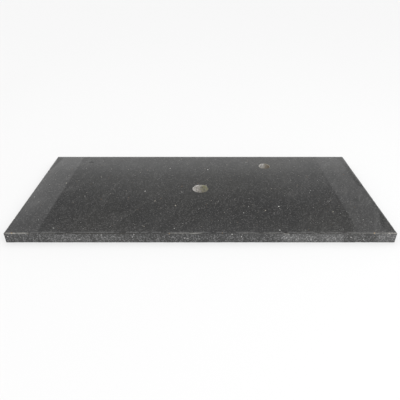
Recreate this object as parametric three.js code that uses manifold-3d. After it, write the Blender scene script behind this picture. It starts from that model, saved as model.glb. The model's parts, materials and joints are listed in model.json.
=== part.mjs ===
// Washstand top: one slab of dark, fossil-flecked natural stone, polished on its upper face,
// with eased arrises, drilled through for a basin waste and for a tap. Three natural cavities
// in the polished face are stopped with dark mastic, each filling a body of its own.
// Millimetres, +Z up, +X along the length, -Y towards the user. The origin is on the
// underside, at the middle of the slab.

import * as THREE from 'three';
import { mergeVertices } from 'three/addons/utils/BufferGeometryUtils.js';
import Module from 'manifold-3d';

const wasm = await Module();
wasm.setup();

// ---------------------------------------------------------------- driving dimensions

const LENGTH = 1000;
const DEPTH = 450;
const THICKNESS = 30;
const TOP_ARRIS = 2;        // bevel along the polished face's four edges
const BOTTOM_ARRIS = 1;     // bevel along the underside's four edges

// Both drillings go right through. The waste hole is in the middle of the slab, and the tap
// hole is behind it and to its right, a hand's width from the back edge.
const TAP_FROM_BACK = 75;
const TAP_FROM_MIDDLE = 214;
const WASTE_HOLE = { x: 0, y: 0, radius: 22.5 };
const TAP_HOLE = { x: TAP_FROM_MIDDLE, y: DEPTH / 2 - TAP_FROM_BACK, radius: 17.5 };
const RIM_BEVEL = 0.8;      // the drillings' eased rims, top and bottom
const DRILL_SEGMENTS = 72;
const OVERRUN = 5;          // how far a cutting tool runs past the face it leaves

// Natural cavities, opened by the polishing. lobes says how far each outline is from round,
// and turn gives the direction of its longest lobe.
const CAVITIES = [
  { name: 'mastic_fill_right_end', x: 448, y: -66, radius: 9, depth: 7, lobes: 0.10, turn: 60 },
  { name: 'mastic_fill_right_front', x: 355, y: -149, radius: 4.2, depth: 5, lobes: 0.14, turn: 150 },
  { name: 'mastic_fill_left_rear', x: -371, y: 179, radius: 6.5, depth: 5.5, lobes: 0.16, turn: 20 },
];
const FIT_GAP = 0.3;        // between a filling and the stone round it
const OUTLINE_POINTS = 28;
const BOWL_RINGS = 5;

// ---------------------------------------------------------------- materials

const polishedStone = new THREE.MeshStandardMaterial({
  color: 0x3c3d3c, roughness: 0.22, metalness: 0,
});
const darkMastic = new THREE.MeshStandardMaterial({
  color: 0x232424, roughness: 0.35, metalness: 0,
});

// ---------------------------------------------------------------- solids

// A closed three.js geometry as a solid that can be cut and joined.
function solidOf(geometry) {
  geometry.deleteAttribute('normal');
  geometry.deleteAttribute('uv');
  const merged = mergeVertices(geometry, 1e-4);
  return new wasm.Manifold(new wasm.Mesh({
    numProp: 3,
    vertProperties: new Float32Array(merged.attributes.position.array),
    triVerts: new Uint32Array(merged.index.array),
  }));
}

// A solid as a named mesh of the model.
function meshOf(name, solid, material) {
  const { vertProperties, triVerts } = solid.getMesh();
  const geometry = new THREE.BufferGeometry();
  geometry.setAttribute('position', new THREE.BufferAttribute(vertProperties, 3));
  geometry.setIndex(new THREE.BufferAttribute(triVerts, 1));
  geometry.computeVertexNormals();
  const mesh = new THREE.Mesh(geometry, material);
  mesh.name = name;
  return mesh;
}

// The slab's cross-section over a given width: a rectangle with bevelled corners, drawn with
// its width along x and its thickness along y.
function easedSection(width) {
  const half = width / 2;
  const section = new THREE.Shape();
  section.moveTo(-half + BOTTOM_ARRIS, 0);
  section.lineTo(half - BOTTOM_ARRIS, 0);
  section.lineTo(half, BOTTOM_ARRIS);
  section.lineTo(half, THICKNESS - TOP_ARRIS);
  section.lineTo(half - TOP_ARRIS, THICKNESS);
  section.lineTo(-half + TOP_ARRIS, THICKNESS);
  section.lineTo(-half, THICKNESS - TOP_ARRIS);
  section.lineTo(-half, BOTTOM_ARRIS);
  section.closePath();
  return section;
}

// The section extruded over a given run and stood up, so that the run lies along Y.
function easedBar(width, run) {
  const bar = new THREE.ExtrudeGeometry(easedSection(width), { depth: run, bevelEnabled: false });
  bar.translate(0, 0, -run / 2);
  bar.rotateX(Math.PI / 2);
  return bar;
}

// Two crossed bars share the slab's volume, and their bevels meet in mitres at its corners.
function slabBlank() {
  const alongDepth = easedBar(LENGTH, DEPTH + 2 * OVERRUN);
  const alongLength = easedBar(DEPTH, LENGTH + 2 * OVERRUN);
  alongLength.rotateZ(Math.PI / 2);
  return solidOf(alongDepth).intersect(solidOf(alongLength));
}

// The core drill's cut, with the bevels of both rims.
function drilling(hole) {
  const flare = RIM_BEVEL + OVERRUN;
  const profile = [
    [0, -OVERRUN],
    [hole.radius + flare, -OVERRUN],
    [hole.radius, RIM_BEVEL],
    [hole.radius, THICKNESS - RIM_BEVEL],
    [hole.radius + flare, THICKNESS + OVERRUN],
    [0, THICKNESS + OVERRUN],
  ].map(([r, z]) => new THREE.Vector2(r, z));
  const tool = new THREE.LatheGeometry(profile, DRILL_SEGMENTS);
  tool.rotateX(Math.PI / 2);
  tool.translate(hole.x, hole.y, 0);
  return solidOf(tool);
}

// A cavity's outline radius in the direction angle: a circle with one long and two short lobes.
function outlineRadius(cavity, angle) {
  const from = angle - THREE.MathUtils.degToRad(cavity.turn);
  const wave = Math.cos(2 * from) + 0.5 * Math.cos(3 * from + 1);
  return cavity.radius * (1 + cavity.lobes * wave);
}

// A cavity as a bowl-shaped solid, all round smaller than the hole in the stone by inset, with
// its flat lid at the height lid.
function bowl(cavity, inset, lid) {
  const points = [];
  const faces = [];
  const floor = THICKNESS - cavity.depth + inset;
  const at = (ring, step) => 2 + ring * OUTLINE_POINTS + (step % OUTLINE_POINTS);
  points.push(cavity.x, cavity.y, lid, cavity.x, cavity.y, floor);
  for (let ring = 0; ring < BOWL_RINGS; ring += 1) {
    const fall = ring / BOWL_RINGS;
    const shrink = Math.sqrt(1 - fall * fall);
    const height = ring === 0 ? lid : THICKNESS + (floor - THICKNESS) * fall;
    for (let step = 0; step < OUTLINE_POINTS; step += 1) {
      const angle = (2 * Math.PI * step) / OUTLINE_POINTS;
      const radius = (outlineRadius(cavity, angle) - inset) * shrink;
      points.push(cavity.x + radius * Math.cos(angle), cavity.y + radius * Math.sin(angle), height);
    }
  }
  for (let step = 0; step < OUTLINE_POINTS; step += 1) {
    faces.push(0, at(0, step), at(0, step + 1));
    faces.push(1, at(BOWL_RINGS - 1, step + 1), at(BOWL_RINGS - 1, step));
    for (let ring = 1; ring < BOWL_RINGS; ring += 1) {
      faces.push(at(ring - 1, step), at(ring, step), at(ring, step + 1));
      faces.push(at(ring - 1, step), at(ring, step + 1), at(ring - 1, step + 1));
    }
  }
  const geometry = new THREE.BufferGeometry();
  geometry.setAttribute('position', new THREE.Float32BufferAttribute(points, 3));
  geometry.setIndex(faces);
  return solidOf(geometry);
}

// ---------------------------------------------------------------- parts

function stoneSlab() {
  let slab = slabBlank();
  for (const hole of [WASTE_HOLE, TAP_HOLE]) slab = slab.subtract(drilling(hole));
  for (const cavity of CAVITIES) slab = slab.subtract(bowl(cavity, 0, THICKNESS + OVERRUN));
  return meshOf('stone_slab', slab, polishedStone);
}

function masticFill(cavity) {
  return meshOf(cavity.name, bowl(cavity, FIT_GAP, THICKNESS), darkMastic);
}

const washstandTop = new THREE.Group();
washstandTop.add(stoneSlab());
for (const cavity of CAVITIES) washstandTop.add(masticFill(cavity));

export default washstandTop;
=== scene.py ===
"""Looks of a drilled natural stone washstand top: a polished dark slab with fossil flecks, eased and
slightly chipped arrises, core-drilled holes, a sawn underside and dark mastic in three cavities."""

import json
import math
import random

import bmesh
import bpy
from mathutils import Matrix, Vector, noise
from mathutils.geometry import delaunay_2d_cdt


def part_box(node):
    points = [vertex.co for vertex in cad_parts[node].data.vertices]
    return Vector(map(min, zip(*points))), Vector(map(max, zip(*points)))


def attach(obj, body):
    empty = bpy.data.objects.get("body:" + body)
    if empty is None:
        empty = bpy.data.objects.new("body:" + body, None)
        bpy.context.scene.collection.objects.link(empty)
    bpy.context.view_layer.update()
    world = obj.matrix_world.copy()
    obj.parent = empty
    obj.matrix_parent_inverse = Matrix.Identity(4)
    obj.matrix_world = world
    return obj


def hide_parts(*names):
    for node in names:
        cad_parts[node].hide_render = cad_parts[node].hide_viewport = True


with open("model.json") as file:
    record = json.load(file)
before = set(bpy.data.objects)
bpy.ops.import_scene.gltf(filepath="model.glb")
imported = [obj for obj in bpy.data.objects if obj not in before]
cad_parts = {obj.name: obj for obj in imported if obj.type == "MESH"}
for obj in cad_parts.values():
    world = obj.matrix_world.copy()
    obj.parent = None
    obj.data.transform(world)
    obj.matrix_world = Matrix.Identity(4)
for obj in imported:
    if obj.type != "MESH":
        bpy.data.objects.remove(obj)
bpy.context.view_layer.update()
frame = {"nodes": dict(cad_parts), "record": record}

MM = 0.001
SLAB = "stone_slab"
FILLS = [name for name in sorted(frame["nodes"]) if name.startswith("mastic_fill")]
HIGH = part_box(SLAB)[1]
HALF = HIGH.xy
TOP = HIGH.z

# ------------------------------------------------------------------ sizes that the eye sees

STEP = 2 * MM               # spacing of the points round the slab's edge
CORNER = 1.2 * MM           # rounding of the four upright corners
ARRIS = 2.0 * MM            # bevel along the polished face
LOWER_ARRIS = 1.0 * MM      # bevel along the underside
MARGIN = 7.0 * MM           # flat strip between the arrises and the face's inner area
SIDE_WAVE = 0.18 * MM       # how far the edge faces wander from a true plane
UNEVEN = 0.12               # by what share of its size an arris varies
SHARP = 32                  # turn in degrees above which an edge is drawn sharp
HOLE_STEPS = 112            # corners of a drilling's rings
RIM = 0.8 * MM              # eased rim of a drilling
WALL_SCORE = 0.16 * MM      # depth of the core drill's scoring
BREAKOUT = 2.2 * MM         # stone lost where the drill came out of the underside
BOWL_STEPS = 44             # corners of a mastic cavity's rim
CAVITY_GAP = 0.3 * MM       # what the CAD fillings leave all round, which the mastic fills
MASTIC_SINK = 0.12 * MM     # how far the mastic's middle has shrunk below its rim
MASTIC_RIM = 0.02 * MM      # how far the mastic's rim lies below the polish
FLECK_GAP = 0.2 * MM        # least gap between two things let into the polished face
PORES = 34                  # open pinholes in the polish
PALE_STRETCH_FADE = 18               # over how many mm a pale stretch, rubbed and painted highlight, fades out at its ends

FINISHES = (
    "polished_face",
    "worn_arris",
    "honed_edge",
    "sawn_stone",
    "drilled_stone",
    "fossil_white",
    "fossil_cream",
    "fossil_rust",
    "fossil_grey",
)

# The largest pale fossils in the polished face: where they lie and about how wide they are, in mm.
# Their places were measured in the photograph by a scratch script and rounded to 5 mm.
LARGE_FOSSILS = (
    (25, 125, 4.5),
    (-100, 135, 3.5),
    (-165, -15, 5.5),
    (-130, -70, 4.5),
    (-55, -20, 4),
    (-70, -95, 4.5),
    (-415, 35, 5.5),
    (180, -120, 4),
    (220, -100, 4.5),
    (365, -125, 3.5),
    (215, 0, 3.5),
    (-315, 75, 3.5),
)

# The scattered fossils: how many, and their least and greatest width in mm.
SCATTERED_FOSSILS = (
    (26, 2.8, 3.8),
    (200, 1.8, 2.8),
    (640, 1.0, 1.8),
)

# Where the upper arris is rubbed pale and painted with its highlight, and where the honed edge is
# paler, partly its own patches and partly painted light: the side, the middle of the stretch and half
# its length in mm, and how pale it is.
RUBBED_AND_LIT_ARRIS = (
    ("front", -472, 22, 0.45),
    ("front", -410, 30, 0.10),
    ("front", -38, 30, 0.29),
    ("front", 155, 45, 0.10),
    ("front", 420, 30, 0.16),
    ("front", 487, 12, 0.40),
    ("left", -110, 115, 0.7),
)
PALE_AND_LIT_EDGE = (
    ("front", -330, 40, 0.45),
    ("front", -240, 20, 0.35),
    ("front", 280, 75, 1.0),
    ("front", 478, 16, 0.8),
    ("left", 60, 60, 0.6),
)


# ------------------------------------------------------------------ the camera

def make_camera():
    """The photograph's view: from the front, a little above, over the middle of the slab."""
    data = bpy.data.cameras.new("camera")
    data.lens = 35.18
    data.sensor_width = 36
    camera = bpy.data.objects.new("camera", data)
    camera.location = (-1 * MM, -1023 * MM, 623 * MM)
    camera.rotation_euler = (math.radians(58.24), 0, 0)
    bpy.context.collection.objects.link(camera)
    bpy.context.scene.camera = camera


# ------------------------------------------------------------------ mesh making

class Skin:
    """One mesh being made: its points, its faces and the finish of each face."""

    def __init__(self):
        self.points = []
        self.faces = []
        self.finishes = []

    def ring(self, points):
        """Adds points and returns their indices."""
        first = len(self.points)
        self.points.extend(Vector(p) for p in points)
        return list(range(first, len(self.points)))

    def face(self, corners, finish):
        self.faces.append(corners)
        self.finishes.append(finish)

    def band(self, upper, lower, finish):
        """Joins two closed rings of the same length."""
        for i in range(len(upper)):
            j = (i + 1) % len(upper)
            self.face((upper[i], lower[i], lower[j], upper[j]), finish)

    def stack(self, rings, finishes):
        """Joins each ring to the next one down."""
        for upper, lower, finish in zip(rings, rings[1:], finishes):
            self.band(upper, lower, finish)

    def fan(self, ring, centre, finish):
        for i in range(len(ring)):
            self.face((ring[i], centre, ring[(i + 1) % len(ring)]), finish)

    def plane(self, outer, finish, patches):
        """Fills the flat area inside the ring outer. patches lists (ring, finish) pairs that lie in it,
        and a patch with the finish None stays open."""
        members = []
        loops = []
        for ring in [outer] + [ring for ring, _ in patches]:
            loops.append(list(range(len(members), len(members) + len(ring))))
            members.extend(ring)
        flat = [self.points[index].xy for index in members]
        places, _, faces, origins, _, owners = delaunay_2d_cdt(flat, [], loops, 0, 1e-8)
        height = self.points[outer[0]].z
        index_of = []
        for place, origin in zip(places, origins):
            if origin:
                index_of.append(members[origin[0]])
            else:
                index_of.extend(self.ring([(place.x, place.y, height)]))
        for corners, owner in zip(faces, owners):
            inner = max(owner) if owner else 0
            chosen = patches[inner - 1][1] if inner else finish
            if chosen is not None:
                self.face([index_of[c] for c in corners], chosen)

    def build(self, name, finishes, smooth=()):
        """Makes the object, with one material slot for each of finishes."""
        mesh = bpy.data.meshes.new(name)
        mesh.from_pydata([tuple(p) for p in self.points], [], self.faces)
        for finish in finishes:
            mesh.materials.append(bpy.data.materials[finish])
        for polygon, finish in zip(mesh.polygons, self.finishes):
            polygon.material_index = finishes.index(finish)
            polygon.use_smooth = finish in smooth
        mesh.validate()
        mesh.update()
        piece = bpy.data.objects.new(name, mesh)
        bpy.context.collection.objects.link(piece)
        mend_normals(mesh)
        mesh.set_sharp_from_angle(angle=math.radians(SHARP))
        return piece


def mend_normals(mesh):
    """Drops loose points and turns every face outwards."""
    work = bmesh.new()
    work.from_mesh(mesh)
    loose = [v for v in work.verts if not v.link_faces]
    bmesh.ops.delete(work, geom=loose, context="VERTS")
    bmesh.ops.recalc_face_normals(work, faces=work.faces)
    work.to_mesh(mesh)
    work.free()


def ripple(*coordinates):
    """Smooth noise between -1 and 1."""
    return noise.noise(Vector(coordinates))


# ------------------------------------------------------------------ the slab

def perimeter():
    """Points round the slab's plan, anticlockwise from its front left corner."""
    points = []
    for quarter in range(4):
        along = Vector((1, 0)) if quarter % 2 == 0 else Vector((0, 1))
        if quarter > 1:
            along = -along
        outward = Vector((along.y, -along.x))
        reach = abs(along.dot(HALF)) - CORNER
        out = abs(outward.dot(HALF))
        steps = round(2 * reach / STEP)
        for i in range(steps + 1):
            points.append(outward * out + along * reach * (2 * i / steps - 1))
        centre = outward * (out - CORNER) + along * reach
        for i in (1, 2):
            turn = math.radians(30 * i)
            points.append(centre + CORNER * (outward * math.cos(turn) + along * math.sin(turn)))
    return points


def inset(point, distance):
    """A perimeter point moved in from the edge."""
    return point.x * (1 - distance / HALF.x), point.y * (1 - distance / HALF.y)


class Arris:
    """An eased edge all round the slab: for each perimeter point, how far it eats into the face and
    down the side, and how hollow it is where a chip has gone."""

    def __init__(self, path, size, chips, deepest, seed):
        rng = random.Random(seed)
        self.back = [size * (1 + UNEVEN * ripple(p.x * 22, p.y * 22, seed)) for p in path]
        self.down = [size * (1 + UNEVEN * ripple(p.x * 25, p.y * 25, seed + 7)) for p in path]
        self.crown = [0.10 * size] * len(path)
        for _ in range(chips):
            middle = rng.randrange(len(path))
            reach = rng.choice((1, 1, 1, 2, 2, 3, 4))
            depth = deepest * rng.uniform(0.25, 1) * (0.4 + 0.15 * reach)
            lean = rng.uniform(0.3, 1)
            for k in range(-reach, reach + 1):
                i = (middle + k) % len(path)
                loss = depth * math.sqrt(1 - (k / (reach + 1)) ** 2) * rng.uniform(0.75, 1)
                self.back[i] += loss * lean
                self.down[i] += loss * (1.3 - lean)
                self.crown[i] = -0.25 * loss

    def at(self, i, way):
        """(distance in from the edge, distance from the face) at way: 0 on the face, 1 on the side."""
        swell = self.crown[i] * math.sin(math.pi * way)
        return max(self.back[i] * (1 - way) - swell, 0), max(self.down[i] * way - swell, 0)


def edge_rings(skin, path):
    """The rings of the slab's rim from the polished face down to the underside, and their finishes."""
    upper = Arris(path, ARRIS, chips=90, deepest=1.5 * MM, seed=11)
    lower = Arris(path, LOWER_ARRIS, chips=120, deepest=0.7 * MM, seed=23)
    rings = [skin.ring((*inset(p, MARGIN), TOP) for p in path)]
    finishes = ["polished_face"]
    for way in (0, 0.28, 0.64, 1):
        cut = [upper.at(i, way) for i in range(len(path))]
        rings.append(skin.ring((*inset(p, c[0]), TOP - c[1]) for p, c in zip(path, cut)))
        finishes.append("worn_arris")
    finishes[-1] = "honed_edge"
    for share in (0.88, 0.7, 0.5, 0.3, 0.14):
        side = []
        for p in path:
            height = TOP * share
            wander = SIDE_WAVE * (0.5 + 0.5 * ripple(p.x * 9, p.y * 9, height * 60))
            side.append((*inset(p, wander), height))
        rings.append(skin.ring(side))
        finishes.append("honed_edge")
    for way in (1, 0.5, 0):
        cut = [lower.at(i, way) for i in range(len(path))]
        rings.append(skin.ring((*inset(p, c[0]), c[1]) for p, c in zip(path, cut)))
        finishes.append("worn_arris")
    finishes[-1] = "sawn_stone"
    rings.append(skin.ring((*inset(p, MARGIN), 0) for p in path))
    return rings, finishes


def hump(distance, reach, fade):
    """1 up to reach, falling smoothly to 0 at reach + fade."""
    share = min(max(1 - (abs(distance) - reach) / fade, 0), 1)
    return share * share * (3 - 2 * share)


def rub_and_highlight_at(place):
    """How pale the rim is at a point, from 0 to 1: rubbed and painted highlight on the arris, pale
    patches and painted light on the edge faces.
    """
    if HALF.y + place.y < 2 * ARRIS:
        side, along = "front", place.x / MM
    elif HALF.x + place.x < 2 * ARRIS:
        side, along = "left", place.y / MM
    else:
        return 0.3 * max(ripple(place.x * 7, place.y * 7, place.z * 20), 0)
    table = RUBBED_AND_LIT_ARRIS if place.z > TOP - 1.3 * ARRIS else PALE_AND_LIT_EDGE
    patchy = 0.8 + 0.7 * ripple(place.x * 60, place.y * 60, place.z * 90)
    pale = 0
    for where, middle, reach, strength in table:
        if where == side:
            pale += strength * hump(along - middle, reach, PALE_STRETCH_FADE)
    return min(max(pale * patchy, 0), 1)


def stain_and_shade_at(place, holes):
    """How stained a drilling's wall is at a point, with its painted shade: from 0 on its left to 1 on
    its right.
    """
    for centre, radius in holes:
        arm = place.xy - centre
        if arm.length < radius + 3 * RIM:
            return hump(1 - arm.x / radius, 0.1, 1.7)
    return 0


def mark_wear(slab, holes):
    """Writes the pale parts of the rim, rubbed and painted highlight, and the stained parts of the
    drillings, darkened by painted shade, to the mesh, for the materials to read.
    """
    rub_and_highlight = slab.data.attributes.new("rub_and_highlight", "FLOAT", "POINT").data
    stain_and_shade = slab.data.attributes.new("stain_and_shade", "FLOAT", "POINT").data
    for i, vertex in enumerate(slab.data.vertices):
        rub_and_highlight[i].value = rub_and_highlight_at(vertex.co)
        stain_and_shade[i].value = stain_and_shade_at(vertex.co, holes)


def drilled_holes():
    """Centre and radius of each drilling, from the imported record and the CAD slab."""
    corners = [v.co for v in frame["nodes"][SLAB].data.vertices]
    holes = []
    for opening in frame["record"]["physics"]["openings"]:
        first, last = opening["box_m"]
        centre = (Vector(first) + Vector(last)).xy / 2
        holes.append((centre, min((c.xy - centre).length for c in corners)))
    return holes


def circle(centre, radii, heights):
    """A closed ring round centre, with a radius and a height for each step."""
    points = []
    for i in range(HOLE_STEPS):
        turn = 2 * math.pi * i / HOLE_STEPS
        points.append((
            centre.x + radii[i] * math.cos(turn),
            centre.y + radii[i] * math.sin(turn),
            heights[i],
        ))
    return points


def hole_rings(skin, centre, radius, seed):
    """A drilling's rings from the polished face down to the underside: its eased rim, its scored
    wall, and the break-out where the drill left the stone."""
    rng = random.Random(seed)
    turns = [2 * math.pi * i / HOLE_STEPS for i in range(HOLE_STEPS)]
    rough = [ripple(3 * math.cos(t), 3 * math.sin(t), seed) for t in turns]
    fine = [ripple(14 * math.cos(t), 14 * math.sin(t), seed + 5) for t in turns]
    rim = [RIM * (1 + 0.35 * r + 0.5 * max(f, 0)) for r, f in zip(rough, fine)]
    lost = [BREAKOUT * (0.35 + max(0.9 * r + 0.6 * f, 0)) for r, f in zip(rough, fine)]
    rings = []
    for out, fall in ((1, 0), (0.42, 0.42), (0, 1)):
        radii = [radius + out * w for w in rim]
        rings.append(skin.ring(circle(centre, radii, [TOP - fall * w for w in rim])))
    for share in (0.9, 0.83, 0.75, 0.68, 0.6, 0.5, 0.42, 0.33, 0.25, 0.18):
        score = rng.uniform(-1, 1)
        wall = []
        for t in turns:
            pits = ripple(radius * 900 * math.cos(t), radius * 900 * math.sin(t), 40 * share)
            wall.append(radius + WALL_SCORE * (0.5 + 0.25 * score + max(pits, 0)))
        rings.append(skin.ring(circle(centre, wall, [TOP * share] * HOLE_STEPS)))
    for out, rise in ((0.1, 0.8), (0.6, 0.3), (1, 0)):
        radii = [radius + out * w for w in lost]
        rings.append(skin.ring(circle(centre, radii, [rise * w for w in lost])))
    return rings


def cavity_outline(node):
    """The rim of the pocket round a CAD filling: the filling's upper outline, grown by the gap that
    the CAD leaves, as a smooth closed ring of directions and radii about its middle."""
    lowest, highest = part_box(node)
    lid = [v.co.xy for v in frame["nodes"][node].data.vertices if v.co.z > highest.z - 0.01 * MM]
    middle = (lowest.xy + highest.xy) / 2
    spokes = {}
    for place in lid:
        arm = place - middle
        if arm.length > 0.3 * (highest.x - middle.x):
            spokes[round(math.atan2(arm.y, arm.x), 3)] = arm.length + CAVITY_GAP
    known = sorted(spokes.items())
    known.insert(0, (known[-1][0] - 2 * math.pi, known[-1][1]))
    known.append((known[1][0] + 2 * math.pi, known[1][1]))
    ring = []
    for i in range(BOWL_STEPS):
        turn = 2 * math.pi * i / BOWL_STEPS - math.pi
        after = next(k for k in range(1, len(known)) if known[k][0] >= turn)
        (near_turn, near), (far_turn, far) = known[after - 1:after + 1]
        ring.append((turn, near + (far - near) * (turn - near_turn) / (far_turn - near_turn)))
    return middle, ring, highest.z - lowest.z + CAVITY_GAP


def bowl_ring(middle, ring, scale, height):
    """A cavity's outline, scaled about its middle, at a height."""
    return [
        (middle.x + r * scale * math.cos(t), middle.y + r * scale * math.sin(t), height)
        for t, r in ring
    ]


def bowl(skin, top_ring, middle, ring, depth, shrink, finish):
    """The hollow below a cavity's rim, which the mastic fills with shrink less."""
    rings = [top_ring]
    for fall in (0.25, 0.5, 0.72, 0.9):
        scale = math.sqrt(1 - fall * fall) * shrink
        rings.append(skin.ring(bowl_ring(middle, ring, scale, TOP - depth * shrink * fall)))
    skin.stack(rings, [finish] * len(rings))
    floor = skin.ring([(middle.x, middle.y, TOP - depth * shrink)])[0]
    skin.fan(rings[-1], floor, finish)


def fragment(rng, centre, width):
    """A shell fragment's outline in the polished face: a bent, lobed ellipse of 7 to 11 corners."""
    corners = rng.randint(7, 11)
    long_way = rng.uniform(0, math.pi)
    slim = rng.uniform(0.45, 0.95)
    bend = rng.uniform(-0.25, 0.25)
    points = []
    for i in range(corners):
        turn = 2 * math.pi * i / corners
        reach = width / 2 * rng.uniform(0.8, 1.1)
        x, y = reach * math.cos(turn), reach * slim * math.sin(turn)
        y += bend * x * x / (width / 2)
        points.append((
            centre[0] + x * math.cos(long_way) - y * math.sin(long_way),
            centre[1] + x * math.sin(long_way) + y * math.cos(long_way),
            TOP,
        ))
    return points


class Field:
    """The polished face's free area: hands out places that touch nothing already there."""

    def __init__(self, taken):
        self.taken = list(taken)

    def fits(self, place, radius):
        if any(abs(c) > h - MARGIN - radius - MM for c, h in zip(place, HALF)):
            return False
        return all((place - p).length > r + radius + FLECK_GAP for p, r in self.taken)

    def claim(self, place, radius):
        if not self.fits(place, radius):
            return False
        self.taken.append((place, radius))
        return True


def scatter_fossils(skin, field):
    """Fossil fragments polished flush with the face: the large ones at their listed places and the
    rest by chance, thicker in drifts."""
    rng = random.Random(404)
    patches = []
    for x, y, width in LARGE_FOSSILS:
        place = Vector((x, y)) * MM
        if field.claim(place, 0.7 * width * MM):
            outline = skin.ring(fragment(rng, place, width * MM))
            patches.append((outline, rng.choice(("fossil_white", "fossil_cream"))))
    kinds = ["fossil_white"] * 3 + ["fossil_cream"] * 2 + ["fossil_rust"] * 2 + ["fossil_grey"] * 11
    for wanted, thinnest, widest in SCATTERED_FOSSILS:
        made = 0
        while made < wanted:
            place = Vector((rng.uniform(-HALF.x, HALF.x), rng.uniform(-HALF.y, HALF.y)))
            width = rng.uniform(thinnest, widest) * MM
            drift = ripple(place.x * 7, place.y * 11, 3)
            if rng.random() < 0.55 + 0.9 * drift and field.claim(place, 0.7 * width):
                patches.append((skin.ring(fragment(rng, place, width)), rng.choice(kinds)))
                made += 1
    return patches


def open_pores(skin, field):
    """Pinholes in the polish, each a small bowl."""
    rng = random.Random(77)
    patches = []
    while len(patches) < PORES:
        place = Vector((rng.uniform(-HALF.x, HALF.x), rng.uniform(-HALF.y, HALF.y)))
        radius = rng.uniform(0.4, 1.0) * MM
        if not field.claim(place, 1.3 * radius):
            continue
        ring = [(2 * math.pi * i / 9, radius * rng.uniform(0.8, 1.15)) for i in range(9)]
        rim = skin.ring(bowl_ring(place, ring, 1, TOP))
        waist = skin.ring(bowl_ring(place, ring, 0.7, TOP - 0.8 * radius))
        floor = skin.ring([(place.x, place.y, TOP - 1.1 * radius)])[0]
        skin.band(rim, waist, "honed_edge")
        skin.fan(waist, floor, "honed_edge")
        patches.append((rim, None))
    return patches


def make_slab():
    """The whole stone as one closed mesh, in place of the CAD slab."""
    skin = Skin()
    rim, rim_finishes = edge_rings(skin, perimeter())
    skin.stack(rim, rim_finishes)
    upper, lower, taken = [], [], []
    holes = drilled_holes()
    for seed, (centre, radius) in enumerate(holes, start=1):
        rings = hole_rings(skin, centre, radius, seed)
        skin.stack(rings, ["drilled_stone"] * len(rings))
        upper.append((rings[0], None))
        lower.append((rings[-1], None))
        taken.append((centre, radius + 3 * RIM))
    for node in FILLS:
        middle, ring, depth = cavity_outline(node)
        mouth = skin.ring(bowl_ring(middle, ring, 1, TOP))
        bowl(skin, mouth, middle, ring, depth, 1, "honed_edge")
        upper.append((mouth, None))
        taken.append((middle, max(r for _, r in ring)))
    field = Field(taken)
    upper += scatter_fossils(skin, field)
    upper += open_pores(skin, field)
    skin.plane(rim[0], "polished_face", upper)
    skin.plane(rim[-1], "sawn_stone", lower)
    slab = skin.build("slab", FINISHES, smooth=("worn_arris", "drilled_stone", "honed_edge"))
    mark_wear(slab, holes)
    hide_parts(SLAB)
    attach(slab, "root")


def make_fill(node):
    """Mastic in one cavity: a shallow dish on top, where it has shrunk, over a bowl-shaped body."""
    middle, ring, depth = cavity_outline(node)
    skin = Skin()
    level = TOP - MASTIC_RIM
    dish = [skin.ring(bowl_ring(middle, ring, 0.999, level))]
    for scale in (0.93, 0.8, 0.55, 0.3):
        lump = 1 + 0.3 * ripple(scale * 9, middle.x * 50, middle.y * 50)
        sunk = MASTIC_SINK * (1 - scale ** 3) * lump
        dish.append(skin.ring(bowl_ring(middle, ring, scale, level - sunk)))
    skin.stack(dish, ["stone_mastic"] * len(dish))
    floor = skin.ring([(middle.x, middle.y, level - MASTIC_SINK)])[0]
    skin.fan(dish[-1], floor, "stone_mastic")
    bowl(skin, dish[0], middle, ring, depth, 0.99, "stone_mastic")
    name = node.replace("mastic_fill", "mastic")
    fill = skin.build(name, ("stone_mastic",), smooth=("stone_mastic",))
    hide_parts(node)
    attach(fill, "root")


# ------------------------------------------------------------------ node helpers

def grey(level):
    return (level, level, level)


class Nodes:
    """A node tree and short calls that add to it. Values and colours are sockets or plain numbers."""

    def __init__(self, tree):
        self.tree = tree

    def link(self, source, socket):
        """Links source to socket if it's a socket, and otherwise writes it there."""
        if isinstance(source, bpy.types.NodeSocket):
            self.tree.links.new(source, socket)
        else:
            socket.default_value = source

    def node(self, kind, sources, **settings):
        """A node with some sockets linked or set and some settings made."""
        made = self.tree.nodes.new(kind)
        for key, value in settings.items():
            setattr(made, key, value)
        for key, source in sources.items():
            self.link(source, made.inputs[key])
        return made

    def maths(self, operation, first, second, third=0.0, clamp=False):
        sources = {0: first, 1: second, 2: third}
        made = self.node("ShaderNodeMath", sources, operation=operation, use_clamp=clamp)
        return made.outputs[0]

    def span(self, value, low, high, start=0.0, end=1.0):
        """value mapped from low..high to start..end, and held there outside."""
        sources = {"Value": value, "From Min": low, "From Max": high, "To Min": start, "To Max": end}
        return self.node("ShaderNodeMapRange", sources).outputs["Result"]

    def part(self, vector, name):
        """One of the three parts, X, Y or Z, of a vector."""
        return self.node("ShaderNodeSeparateXYZ", {"Vector": vector}).outputs[name]

    def ramp(self, value, levels):
        """A grey that follows value through levels, as (position, level)."""
        made = self.node("ShaderNodeValToRGB", {"Fac": value})
        elements = made.color_ramp.elements
        while len(elements) < len(levels):
            elements.new(0.5)
        for element, (position, level) in zip(elements, levels):
            element.position = position
            element.color = (*grey(level), 1)
        return made.outputs["Color"]


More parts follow.
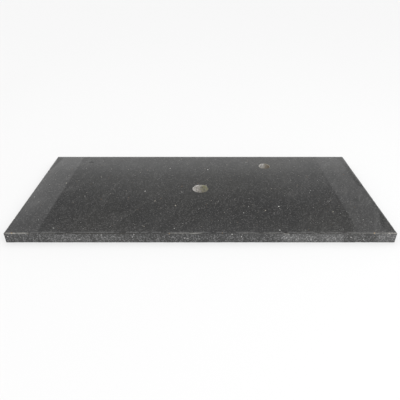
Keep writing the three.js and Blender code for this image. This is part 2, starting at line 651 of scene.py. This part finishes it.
class Finish(Nodes):
    """A material and short calls that add the nodes of its pattern. Places are in the row frame."""

    def __init__(self, name, roughness, ior=1.5, specular=0.5):
        self.material = bpy.data.materials.new(name)
        self.material.use_nodes = True
        super().__init__(self.material.node_tree)
        self.shader = next(n for n in self.tree.nodes if n.type == "BSDF_PRINCIPLED")
        self.shader.inputs["Roughness"].default_value = roughness
        self.shader.inputs["IOR"].default_value = ior
        self.shader.inputs["Specular IOR Level"].default_value = specular
        self.place = self.node("ShaderNodeTexCoord", {}).outputs["Object"]

    def moved(self, shift=(0, 0, 0), scale=(1, 1, 1), turn=(0, 0, 0), place=None):
        """The place scaled, then turned, then shifted."""
        sources = {
            "Vector": place or self.place,
            "Location": shift,
            "Scale": scale,
            "Rotation": turn,
        }
        return self.node("ShaderNodeMapping", sources).outputs["Vector"]

    def clouds(self, scale, detail=3, roughness=0.55, warp=0, place=None):
        """Noise between 0 and 1, with scale features to the metre."""
        sources = {
            "Vector": place or self.place,
            "Scale": scale,
            "Detail": detail,
            "Roughness": roughness,
            "Distortion": warp,
        }
        return self.node("ShaderNodeTexNoise", sources).outputs["Fac"]

    def mark(self, name):
        """One of the values that mark_wear wrote."""
        return self.node("ShaderNodeAttribute", {}, attribute_name=name).outputs["Fac"]

    def rings(self, centre, wavelength, warp):
        """Circular ripples about a point, between 0 and 1."""
        sources = {
            "Vector": self.moved(shift=(-centre[0], -centre[1], 0)),
            "Scale": math.pi / 10 / wavelength,
            "Distortion": warp,
            "Detail": 2,
            "Detail Scale": 0.6,
        }
        kinds = {"wave_type": "RINGS", "rings_direction": "SPHERICAL"}
        return self.node("ShaderNodeTexWave", sources, **kinds).outputs["Fac"]

    def around(self, centre, reach):
        """1 at a point, falling to 0 at a distance of reach."""
        shift = (-centre[0] / reach, -centre[1] / reach, 0)
        place = self.moved(shift=shift, scale=(1 / reach,) * 3)
        made = self.node("ShaderNodeTexGradient", {"Vector": place}, gradient_type="SPHERICAL")
        return made.outputs["Fac"]

    def spots(self, scale, share, size, place=None):
        """Irregular dots: about share of the cells, scale to the metre, hold one of about size cells."""
        jitter = self.clouds(scale * 2.5, detail=2, place=place)
        cell = self.node("ShaderNodeTexVoronoi", {"Vector": place or self.place, "Scale": scale})
        luck = self.node("ShaderNodeSeparateColor", {"Color": cell.outputs["Color"]})
        chosen = self.maths("GREATER_THAN", luck.outputs["Red"], 1 - share)
        grown = self.maths("MULTIPLY_ADD", luck.outputs["Green"], size * 0.6, size * 0.4)
        wobble = self.maths("MULTIPLY_ADD", jitter, size * 1.4, -size * 0.7)
        reach = self.maths("ADD", grown, wobble)
        depth = self.maths("SUBTRACT", reach, cell.outputs["Distance"])
        soft = self.maths("MULTIPLY", depth, 6 / size, clamp=True)
        return self.maths("MULTIPLY", soft, chosen)

    def blend(self, share, first, second, strength=1):
        """first where share is 0 and second where it's 1, or part of the way there with strength.
        The two are sockets or (r, g, b) colours."""
        if strength != 1:
            share = self.maths("MULTIPLY", share, strength)
        made = self.node("ShaderNodeMix", {}, data_type="RGBA")
        sockets = {socket.identifier: socket for socket in made.inputs}
        self.link(share, sockets["Factor_Float"])
        for name, source in (("A_Color", first), ("B_Color", second)):
            self.link((*source, 1) if isinstance(source, tuple) else source, sockets[name])
        return next(s for s in made.outputs if s.identifier == "Result_Color")

    def colour(self, socket):
        self.link(socket, self.shader.inputs["Base Color"])

    def roughen(self, value):
        self.link(value, self.shader.inputs["Roughness"])

    def relief(self, height, depth):
        """A bump of the given depth in metres."""
        bump = self.node("ShaderNodeBump", {"Height": height, "Distance": depth})
        self.link(bump.outputs["Normal"], self.shader.inputs["Normal"])


# ------------------------------------------------------------------ materials

PALE = (0.120, 0.119, 0.115)
CREAM = (0.300, 0.290, 0.262)
POLISHED = ((0.0022, 0.0023, 0.0024), (0.0065, 0.0066, 0.0067), (0.0105, 0.0100, 0.0080), PALE)
WORN = (grey(0.010), grey(0.020), (0.024, 0.022, 0.018), (0.160, 0.158, 0.150))
HONED = (grey(0.018), grey(0.029), (0.033, 0.032, 0.029), PALE)
SAWN = ((0.075, 0.076, 0.075), (0.115, 0.116, 0.113), (0.120, 0.112, 0.095), (0.220, 0.218, 0.210))


def stone_colour(finish, colours, grain=0.34):
    """The stone's own colour: clouds, a warm drift, grain and pale flecks in two sizes. colours are
    the dark ground, its lighter clouds, the warm drift, and the grain and small flecks."""
    dark, mid, warm, pale = colours
    drift = finish.span(finish.clouds(5, detail=5, warp=0.8), 0.35, 0.68)
    base = finish.blend(drift, dark, mid)
    elsewhere = finish.moved(shift=(4, 2, 1))
    tint = finish.span(finish.clouds(3.2, detail=3, place=elsewhere), 0.45, 0.7, 0, 0.6)
    base = finish.blend(tint, base, warm)
    crystals = finish.span(finish.clouds(280, detail=3, roughness=0.6), 0.52, 0.68, 0, grain)
    base = finish.blend(crystals, base, pale)
    base = finish.blend(finish.spots(300, 0.3, 0.36), base, pale, 0.5)
    small = finish.spots(140, 0.15, 0.2, place=finish.moved(turn=(0, 0, 0.6)))
    return finish.blend(small, base, CREAM, 0.35)


def make_polished_face():
    """Almost black, with hazy streaks where it was wiped, made paler towards both ends as painted
    reflection, and faint rings from the polishing heads, painted paler as the highlight their scratches
    catch.
    """
    finish = Finish("polished_face", 0.06, ior=1.55)
    base = stone_colour(finish, POLISHED, grain=0.37)
    turned = finish.moved(turn=(0, 0, -1.1))
    slanted = finish.moved(scale=(1, 4, 1), place=turned)
    streaks = finish.clouds(7, detail=8, roughness=0.75, warp=1.0, place=slanted)
    streaks = finish.span(streaks, 0.52, 0.7)
    outward = finish.maths("ABSOLUTE", finish.part(finish.place, "X"), 0)
    # painted reflection: the wiped streaks grow paler towards both ends, where the bands of reflected
    # light lie
    endward_sheen = finish.span(outward, 0.05, 0.35, 0.10, 0.21)
    base = finish.blend(finish.maths("MULTIPLY", streaks, endward_sheen), base, PALE)
    arcs = finish.rings((0.22, -0.02), 0.010, 2)
    arcs = finish.maths("MULTIPLY", arcs, finish.around((0.30, 0.06), 0.14))
    loops = finish.rings((-0.05, 0.05), 0.013, 9)
    loops = finish.maths("MULTIPLY", loops, finish.around((-0.12, 0.02), 0.22))
    swirls = finish.maths("MULTIPLY_ADD", loops, 0.6, arcs)
    # painted highlight: the polishing rings are painted paler, for the light their scratches catch
    finish.colour(finish.blend(swirls, base, PALE, 0.13))
    pores = finish.span(finish.clouds(700, detail=2), 0.55, 0.8, 0.024, 0.042)
    finish.roughen(finish.maths("MULTIPLY_ADD", swirls, 0.01, pores))
    finish.relief(finish.clouds(260, detail=3), 0.007 * MM)


def make_worn_arris():
    """Bevels: dark where the polish runs over them, pale and dull where they are rubbed, the pale
    stretches also painting the bevels' highlight, and with a few rusty crystals."""
    finish = Finish("worn_arris", 0.3, specular=0.3)
    base = stone_colour(finish, WORN)
    # painted highlight: the pale stretches of the bevels are partly rubbed stone and partly the
    # highlight they catch
    rub_and_highlight = finish.mark("rub_and_highlight")
    broken = finish.span(finish.clouds(170, detail=5, roughness=0.7), 0.36, 0.6)
    # the colour of the pale stretches, rubbed stone and painted highlight
    rubbed = finish.blend(broken, (0.160, 0.156, 0.145), (0.460, 0.445, 0.410))
    base = finish.blend(rub_and_highlight, base, rubbed)
    finish.colour(finish.blend(finish.spots(140, 0.2, 0.3), base, (0.42, 0.27, 0.13), 0.8))
    finish.roughen(finish.span(rub_and_highlight, 0, 1, 0.3, 0.6))
    finish.relief(finish.clouds(500, detail=3), 0.08 * MM)


def make_honed_edge():
    """The four edge faces: honed only, so greyer than the top, with open pale crystals and flecks,
    darker where the polish of the arris reaches down, with painted shade along the very bottom, and
    with paler stretches that are partly the stone's own patches and partly painted light."""
    finish = Finish("honed_edge", 0.38)
    base = stone_colour(finish, HONED)
    height = finish.part(finish.place, "Z")
    below = finish.span(height, 0.55 * TOP, 0.95 * TOP, 1, 0.5)
    # painted shade: fewer pale crystals in the lowest fifth of the edge, darkening the slab's foot
    above = finish.span(height, 0, 0.2 * TOP, 0.45, 1)
    opened_and_foot_shade = finish.maths("MULTIPLY", below, above)
    crystals = finish.span(finish.clouds(270, detail=4, roughness=0.65), 0.5, 0.63, 0, 0.78)
    base = finish.blend(finish.maths("MULTIPLY", crystals, opened_and_foot_shade), base, grey(0.20))
    base = finish.blend(finish.spots(230, 0.38, 0.36), base, (0.36, 0.358, 0.355), 0.75)
    shells = finish.spots(125, 0.3, 0.22, place=finish.moved(turn=(0.3, 0.5, 0.2)))
    base = finish.blend(shells, base, (0.54, 0.535, 0.52), 0.85)
    # paler stretches: partly the face's own pale patches and partly painted light, where more light
    # falls on it
    pale = finish.maths("MULTIPLY", finish.mark("rub_and_highlight"), opened_and_foot_shade)
    ground = finish.blend(crystals, grey(0.11), (0.42, 0.42, 0.415))
    finish.colour(finish.blend(finish.span(pale, 0, 1, 0, 0.62), base, ground))
    finish.roughen(finish.span(finish.clouds(40, detail=4), 0.3, 0.7, 0.30, 0.48))
    finish.relief(finish.clouds(380, detail=4, roughness=0.65), 0.07 * MM)


def make_sawn_stone():
    """The underside as the saw left it: pale grey, dull, with faint parallel blade marks."""
    finish = Finish("sawn_stone", 0.78)
    base = stone_colour(finish, SAWN)
    marks = finish.clouds(12, detail=4, place=finish.moved(scale=(9, 0.35, 1)))
    finish.colour(finish.blend(finish.span(marks, 0.4, 0.65, 0, 0.35), base, (0.17, 0.17, 0.165)))
    finish.relief(marks, 0.25 * MM)


def make_drilled_stone():
    """The core drill's walls: bruised pale, with painted shade in their pits, and stained olive and
    brown on one side, where painted shade darkens them too.
    """
    finish = Finish("drilled_stone", 0.85)
    dust = finish.span(finish.clouds(160, detail=4, roughness=0.6), 0.35, 0.7)
    base = finish.blend(dust, (0.33, 0.314, 0.30), (0.60, 0.583, 0.567))
    browner = finish.span(finish.part(finish.place, "X"), 0.03, 0.2)
    wavering = finish.span(finish.clouds(110, detail=4), 0.2, 0.8, -0.5, 0.5)
    # painted shade: each wall is darkened towards its right side, together with its olive and brown
    # stain
    stain_and_shade = finish.maths("ADD", finish.mark("stain_and_shade"), wavering)
    stain_and_shade = finish.maths("MULTIPLY_ADD", browner, -0.2, stain_and_shade)
    base = finish.blend(finish.span(stain_and_shade, 0, 0.55, 0, 0.9), base, (0.265, 0.247, 0.208))
    deposit_and_shade = finish.blend(browner, (0.22, 0.215, 0.12), (0.125, 0.088, 0.055))
    base = finish.blend(finish.span(stain_and_shade, 0.55, 1.1, 0, 0.9), base, deposit_and_shade)
    # painted shade: dark spots and pinholes stand for the shade inside the wall's pits
    base = finish.blend(finish.spots(125, 0.6, 0.42), base, (0.09, 0.095, 0.085), 0.75)
    pinholes = finish.spots(230, 0.6, 0.44, place=finish.moved(turn=(0.4, 0.2, 0.9)))
    finish.colour(finish.blend(pinholes, base, (0.11, 0.11, 0.095), 0.7))
    finish.relief(finish.clouds(420, detail=4, roughness=0.7), 0.35 * MM)


def make_fossil(name, low, high, roughness):
    """A fossil in the polish, clouded between two colours."""
    finish = Finish(name, roughness)
    finish.colour(finish.blend(finish.span(finish.clouds(650, detail=3), 0.35, 0.65), low, high))


def make_mastic():
    """Dark filler, rubbed smooth but not polished."""
    finish = Finish("stone_mastic", 0.4, specular=0.28)
    speck = finish.span(finish.clouds(900, detail=3, roughness=0.7), 0.5, 0.75)
    finish.colour(finish.blend(speck, grey(0.010), (0.030, 0.030, 0.029)))
    finish.roughen(finish.span(finish.clouds(300, detail=3), 0.3, 0.7, 0.26, 0.44))
    finish.relief(finish.clouds(550, detail=3), 0.05 * MM)


def make_materials():
    make_polished_face()
    make_worn_arris()
    make_honed_edge()
    make_sawn_stone()
    make_drilled_stone()
    make_fossil("fossil_white", (0.30, 0.30, 0.285), (0.52, 0.515, 0.49), 0.16)
    make_fossil("fossil_cream", (0.20, 0.185, 0.15), (0.36, 0.33, 0.27), 0.18)
    make_fossil("fossil_rust", (0.10, 0.06, 0.03), (0.17, 0.095, 0.04), 0.2)
    make_fossil("fossil_grey", (0.055, 0.055, 0.053), PALE, 0.14)
    make_mastic()


# ------------------------------------------------------------------ stage

FLOOR_GREY = 0.30           # how much of the light the floor gives back
FLOOR_GLOW = 0.49           # its own light, which keeps the slab's shade on it faint
FLOOR_REACH = 30
STRIP_END = 2.4             # how far the strip lights reach past the slab's middle, both ways
STRIP_FOOT = 0.78           # the height for which a strip light's brightness along Y is given
STRIP_LEAN = 1.5            # how far the pattern of its brightness moves along Y for each metre up

# Each strip light: where it stands, the corners of its lower edge as (y, z), the heights of its upper
# edge's two ends, its brightness as (y, glow), and how much brighter it is at its foot.
STRIP_LIGHTS = (
    (
        "left",
        -1.106,
        ((-STRIP_END, 0.60), (0.6, 0.60), (STRIP_END, 0.913)),
        (0.914, 1.051),
        ((0.85, 0.23), (1.10, 0.43), (1.33, 0.38), (1.60, 0.24), (1.85, 0.24)),
        1.6,
    ),
    (
        "right",
        1.076,
        (
            (-STRIP_END, 0.785),
            (0.885, 0.785),
            (0.95, 0.72),
            (1.18, 0.72),
            (1.32, 0.76),
            (STRIP_END, 0.77),
        ),
        (0.966, 1.035),
        ((0.86, 0.26), (1.15, 0.29), (1.35, 0.25), (1.60, 0.17), (1.90, 0.13)),
        1,
    ),
)

SKY_STRENGTH = 2.0
SKY_ARCH = 0.3              # how much the square of the sideways part adds to the height
SKY_LEVELS = (              # its colour by height: bright low and overhead, dim between
    (0.0, 0.54),
    (0.40, 0.54),
    (0.434, 0.50),
    (0.456, 0.42),
    (0.477, 0.315),
    (0.505, 0.265),
    (0.545, 0.235),
    (0.575, 0.27),
    (0.62, 0.39),
    (0.80, 0.95),
)


def stage_sheet(name, corners, material):
    mesh = bpy.data.meshes.new(name)
    mesh.from_pydata(corners, [], [list(range(len(corners)))])
    mesh.materials.append(material)
    sheet = bpy.data.objects.new(name, mesh)
    bpy.context.collection.objects.link(sheet)
    return sheet


def make_floor():
    """A white table lit from below, so that the slab's shade on it stays faint."""
    finish = Finish("white_floor", 1, specular=0)
    finish.shader.inputs["Base Color"].default_value = (*grey(FLOOR_GREY), 1)
    finish.shader.inputs["Emission Color"].default_value = (1, 1, 1, 1)
    finish.shader.inputs["Emission Strength"].default_value = FLOOR_GLOW
    corners = [(x * FLOOR_REACH, y * FLOOR_REACH, 0) for x, y in ((-1, -1), (1, -1), (1, 1), (-1, 1))]
    stage_sheet("floor", corners, finish.material)


def glowing_gauze(name, glows, foot_gain):
    """A see-through sheet that adds its own glow to what lies behind it. glows gives it along Y at
    STRIP_FOOT, and foot_gain is how much brighter it is there than higher up."""
    material = bpy.data.materials.new(name)
    material.use_nodes = True
    nodes = Nodes(material.node_tree)
    nodes.tree.nodes.clear()
    place = nodes.node("ShaderNodeTexCoord", {}).outputs["Object"]
    height = nodes.part(place, "Z")
    leaning = nodes.maths("MULTIPLY_ADD", height, -STRIP_LEAN, nodes.part(place, "Y"))
    foot = -STRIP_LEAN * STRIP_FOOT
    share = nodes.span(leaning, foot - STRIP_END, foot + STRIP_END)
    colour = nodes.ramp(share, [((y / STRIP_END + 1) / 2, glow) for y, glow in glows])
    strength = 1
    if foot_gain > 1:
        strength = nodes.span(height, STRIP_FOOT - 0.03, STRIP_FOOT + 0.12, foot_gain, 1)
    light = nodes.node("ShaderNodeEmission", {"Color": colour, "Strength": strength})
    clear = nodes.node("ShaderNodeBsdfTransparent", {})
    both = nodes.node("ShaderNodeAddShader", {0: clear.outputs["BSDF"], 1: light.outputs["Emission"]})
    nodes.node("ShaderNodeOutputMaterial", {"Surface": both.outputs["Shader"]})
    return material


def make_strip_lights():
    """A long strip of lit gauze along each end of the slab. The polish shows it as a pale band along
    that end, and the camera doesn't see it directly."""
    for side, x, lower, (near_top, far_top), glows, foot_gain in STRIP_LIGHTS:
        name = "strip_light_" + side
        corners = [(x, y, z) for y, z in lower]
        corners += [(x, STRIP_END, far_top), (x, -STRIP_END, near_top)]
        panel = stage_sheet(name, corners, glowing_gauze(name, glows, foot_gain))
        panel.visible_camera = False


def make_key_light():
    """A large soft light over the right shoulder."""
    data = bpy.data.lights.new("key_light", "AREA")
    data.shape = "SQUARE"
    data.size = 1.4
    data.energy = 22
    key = bpy.data.objects.new("key_light", data)
    key.location = (1.8, -1.6, 1.7)
    aim = Vector((0, 0, TOP)) - key.location
    key.rotation_euler = aim.to_track_quat("-Z", "Y").to_euler()
    key.visible_camera = False
    bpy.context.collection.objects.link(key)


def make_sky():
    """A white room. The height that its brightness goes by is the sine of the angle above the floor,
    plus a little to the sides, so that the bright part of its back wall has an arched top."""
    world = bpy.data.worlds.new("white_room")
    bpy.context.scene.world = world
    world.use_nodes = True
    nodes = Nodes(world.node_tree)
    background = next(n for n in nodes.tree.nodes if n.type == "BACKGROUND")
    way = nodes.node("ShaderNodeTexCoord", {}).outputs["Generated"]
    sideways = nodes.part(way, "X")
    square = nodes.maths("MULTIPLY", sideways, sideways)
    height = nodes.maths("MULTIPLY_ADD", square, SKY_ARCH, nodes.part(way, "Z"))
    nodes.link(nodes.ramp(height, SKY_LEVELS), background.inputs["Color"])
    background.inputs["Strength"].default_value = SKY_STRENGTH


bpy.context.scene.view_settings.view_transform = "Standard"
make_camera()
make_materials()
make_slab()
for fill_node in FILLS:
    make_fill(fill_node)
make_floor()
make_strip_lights()
make_key_light()
make_sky()
